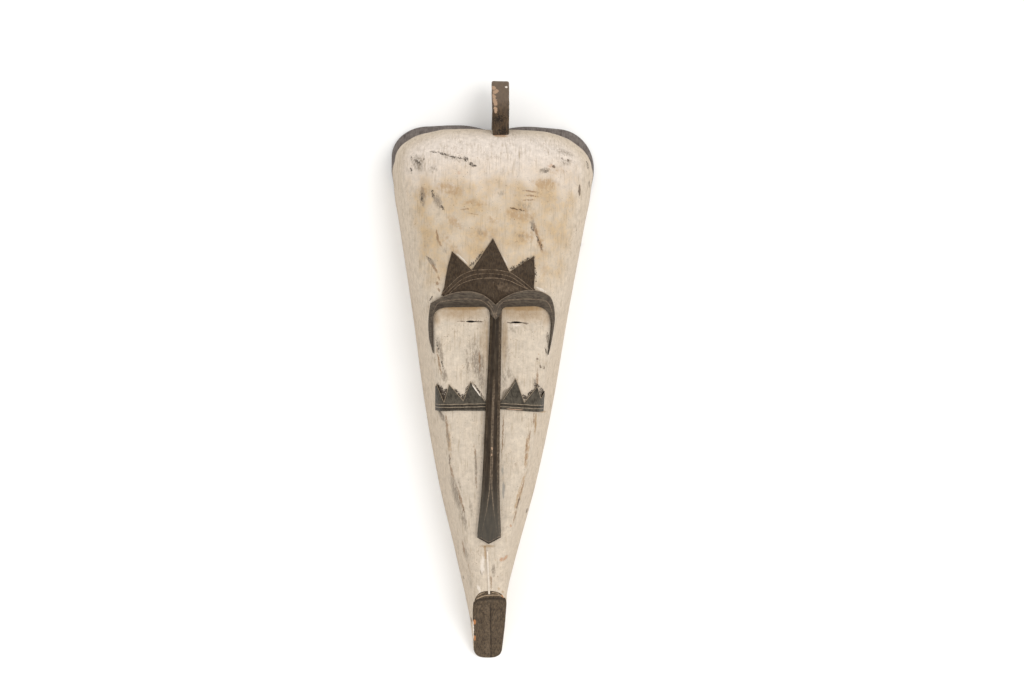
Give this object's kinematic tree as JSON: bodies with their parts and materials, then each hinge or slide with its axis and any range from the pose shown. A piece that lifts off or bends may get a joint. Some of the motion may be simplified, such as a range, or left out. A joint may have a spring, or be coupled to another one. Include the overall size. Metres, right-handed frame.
{
  "type": "fang mask",
  "caption": "Long carved wooden mask with a domed forehead, zigzag crown, arched brows, slit eyes, a long faceted nose and a dark mouth, hollow at the back and whitened with kaolin.",
  "frame": {"origin": "under the middle of the mask, on the plane of its flat back rim", "axes": "+X across the face towards the viewer's right, +Y up the mask towards the crest, +Z out of the face"},
  "size_m": [0.2844, 0.8012, 0.1563],
  "materials": {
    "carved_wood": "whitened with kaolin over bare wood, raised parts stained dark brown, matt and worn"
  },
  "bodies": {
    "root": {"mask": "carved_wood"}
  },
  "joints": []
}
